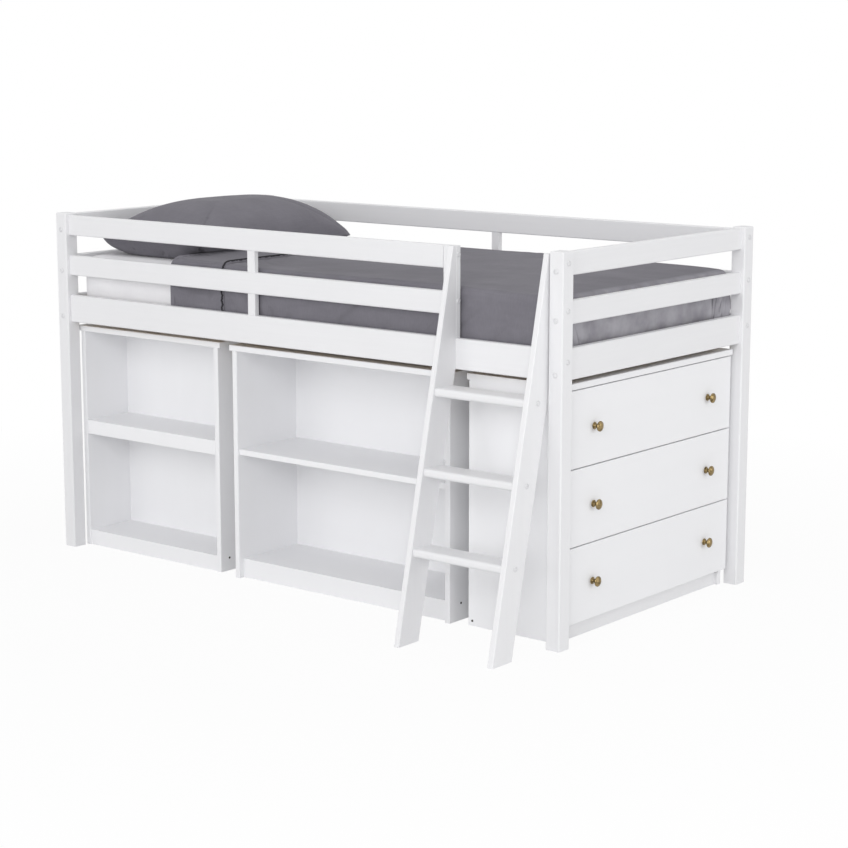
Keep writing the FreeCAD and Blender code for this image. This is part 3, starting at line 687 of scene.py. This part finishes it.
# each bolt of a CAD node is one island of its mesh, and its wider end is its head
def boltPlaces(name):
    mesh = bmesh.new()
    mesh.from_mesh(nodes[name].data)
    bmesh.ops.remove_doubles(mesh, verts=mesh.verts, dist=boltCap["weld"])
    left = set(mesh.verts)
    places = []
    while left:
        island, edge = set(), [left.pop()]
        while edge:
            vertex = edge.pop()
            island.add(vertex)
            for link in vertex.link_edges:
                other = link.other_vert(vertex)
                if other in left:
                    left.discard(other)
                    edge.append(other)
        found = np.array([vertex.co for vertex in island])
        axis = int(np.argmax(found.max(0) - found.min(0)))
        centre = (found.max(0) + found.min(0)) / 2
        ends = []
        for sign, end in ((-1, found[:, axis].min()), (1, found[:, axis].max())):
            ring = found[np.abs(found[:, axis] - end) < boltCap["flat"]]
            ends.append((np.ptp(ring, axis=0).max(), sign, end))
        sign, end = max(ends)[1:]
        outward = Vector((0, 0, 0))
        outward[axis] = sign
        spot = Vector(centre)
        spot[axis] = end - sign * boltCap["height"]
        places.append((spot, outward))
    mesh.free()
    return places


def makeCaps(nodeName, pieceName):
    cap = boltCap
    clearSelection()
    bpy.ops.mesh.primitive_cylinder_add(vertices=cap["sides"], radius=cap["radius"], depth=cap["height"],
                                        location=(0, 0, cap["height"] / 2))
    model = bpy.context.object
    bpy.ops.object.transform_apply(location=True, rotation=True, scale=True)
    bpy.ops.object.mode_set(mode="EDIT")
    bpy.ops.mesh.select_mode(type="FACE")
    bpy.ops.mesh.select_all(action="DESELECT")
    bpy.ops.object.mode_set(mode="OBJECT")
    for face in model.data.polygons:
        face.select = face.normal.z > 0.9
    bpy.ops.object.mode_set(mode="EDIT")
    bpy.ops.mesh.bevel(offset=cap["height"] * cap["rounding"], segments=2)
    bpy.ops.mesh.inset(thickness=cap["radius"] * cap["rim"])
    bpy.ops.mesh.inset(thickness=cap["radius"] * cap["slope"])
    bpy.ops.transform.translate(value=(0, 0, -cap["dish"]))
    bpy.ops.object.mode_set(mode="OBJECT")
    turns = [Matrix.Translation(spot) @ outward.to_track_quat("Z", "Y").to_matrix().to_4x4()
             for spot, outward in boltPlaces(nodeName)]
    piece = placeCopies(model, turns, pieceName)
    bpy.data.objects.remove(model)
    bpy.ops.object.shade_smooth_by_angle(angle=math.radians(cap["smooth"]))
    coat(piece, capEnamel, "bed", "bolt_caps", nodeName)
    return len(turns)


print("stage: bolt caps,", makeCaps("frame_bolts", "frameBoltCaps") + makeCaps("ladder_bolts", "ladderBoltCaps"))


# mushroom knobs with a foot ring, a waisted neck and a beaded rim, as rings of (reach, radius)
drawerKnob = {"rings": ((0.0, 0.0100), (0.0016, 0.0104), (0.0030, 0.0094), (0.0034, 0.0066), (0.0065, 0.0052),
                        (0.0110, 0.0056), (0.0145, 0.0082), (0.0165, 0.0128), (0.0178, 0.0146), (0.0196, 0.0150),
                        (0.0212, 0.0143), (0.0217, 0.0128), (0.0224, 0.0126), (0.0244, 0.0092), (0.0255, 0.0050),
                        (0.0259, 0.0014)), "sides": 36, "headRadius": 0.015, "smooth": 50}


def makeKnob():
    (reached, wide), *rings = drawerKnob["rings"]
    clearSelection()
    bpy.ops.mesh.primitive_circle_add(vertices=drawerKnob["sides"], radius=wide, fill_type="NGON",
                                      rotation=(0, math.pi / 2, 0))
    model = bpy.context.object
    bpy.ops.object.transform_apply(location=True, rotation=True, scale=True)
    bpy.ops.object.mode_set(mode="EDIT")
    bpy.ops.mesh.select_all(action="SELECT")
    for reach, radius in rings:
        bpy.ops.mesh.extrude_region_move(TRANSFORM_OT_translate={"value": (reach - reached, 0, 0)})
        bpy.ops.transform.resize(value=(1, radius / wide, radius / wide))
        reached, wide = reach, radius
    bpy.ops.object.mode_set(mode="OBJECT")
    recalculate()
    return model


knobModel = makeKnob()
for level in ("upper", "middle", "lower"):
    low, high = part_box(level + "_drawer_knobs")
    turns = [Matrix.Translation((low.x, y, (low.z + high.z) / 2))
             for y in (low.y + drawerKnob["headRadius"], high.y - drawerKnob["headRadius"])]
    knobs = placeCopies(knobModel, turns, level + "DrawerKnobs")
    bpy.ops.object.shade_smooth_by_angle(angle=math.radians(drawerKnob["smooth"]))
    coat(knobs, brass, level + "_drawer", "aged_brass", level + "_drawer_knobs")
    print("stage:", level, "drawer knobs,", len(knobs.data.polygons), "faces")
bpy.data.objects.remove(knobModel)


# pale floor that the camera sees as near white, with the object's soft shadow on it
floorLook = {"size": 40.0, "below": 0.0002, "colour": (0.74, 0.74, 0.74), "near": 1.3, "far": 2.9,
             "whiteShare": 0.945}


def makeFloor():
    clearSelection()
    bpy.ops.mesh.primitive_plane_add(size=floorLook["size"], location=(0, 0, -floorLook["below"]))
    floor = bpy.context.object
    floor.name = "studioFloor"
    paper = Surface(bpy.data.materials.new("studioFloorPaper"))
    away = paper.add("VectorMath", {"operation": "LENGTH"}, {0: paper.place}, "Value")
    fade = paper.add("MapRange", {}, {0: away, 1: floorLook["near"], 2: floorLook["far"],
                                      3: floorLook["whiteShare"], 4: 1.0})
    share = fade * paper.seenRays()
    matt = paper.add("BsdfDiffuse", {}, {"Color": floorLook["colour"]})
    white = paper.add("Emission", {}, {"Strength": 1.0})
    paper.feed(paper.end, {"Surface": paper.add("MixShader", {}, {0: share, 1: matt, 2: white})})
    floor.data.materials.append(paper.owner)


makeFloor()

# soft studio light: a broad key by the camera, a fill from the left, a sheet at the foot end, a top sheet and
# an even sky; each lamp is a place, a size and a power
lampAim = Vector((0, 0, 0.6))
studioLamps = {"key": ((4.9, -9.0, 3.9), 6.0, 445.0), "fill": ((-3.5, -9.5, 1.4), 5.0, 150.0),
               "foot": ((6.6, 1.0, 1.5), 3.2, 88.0), "top": ((0.4, -0.6, 5.4), 4.5, 50.0)}
for lampName, (spot, size, power) in studioLamps.items():
    lamp = bpy.data.lights.new(lampName + "Lamp", "AREA")
    lamp.size = size
    lamp.energy = power
    lampObject = bpy.data.objects.new(lampName + "Lamp", lamp)
    lampObject.location = spot
    lampObject.rotation_euler = (lampAim - Vector(spot)).to_track_quat("-Z", "Y").to_euler()
    scene.collection.objects.link(lampObject)

skyLook = {"strength": 0.50, "seen": 1.0}
scene.world = bpy.data.worlds.new("studioSky")
scene.world.use_nodes = True
sky = Surface(scene.world)
light = sky.add("Background", {}, {"Color": (1, 1, 1), "Strength": skyLook["strength"]})
seen = sky.add("Background", {}, {"Color": (1, 1, 1), "Strength": skyLook["seen"]})
sky.feed(sky.end, {"Surface": sky.add("MixShader", {}, {0: sky.seenRays(), 1: light, 2: seen})})
print("stage: floor and light")

# the camera of the photograph's view
view = {"place": (4.282, -5.038, 1.682), "azimuth": 38.86, "down": 10.4, "focalPixels": 2152.1, "widthPixels": 848,
        "sensor": 36.0, "farClip": 100.0}
camera = bpy.data.cameras.new("viewCamera")
camera.sensor_width = view["sensor"]
camera.lens = view["focalPixels"] / view["widthPixels"] * camera.sensor_width
camera.clip_end = view["farClip"]
cameraObject = bpy.data.objects.new("viewCamera", camera)
cameraObject.location = view["place"]
cameraObject.rotation_euler = (math.radians(90 - view["down"]), 0, math.radians(view["azimuth"]))
scene.collection.objects.link(cameraObject)
scene.camera = cameraObject
scene.view_settings.view_transform = "Standard"

print("stage: camera, scene complete")
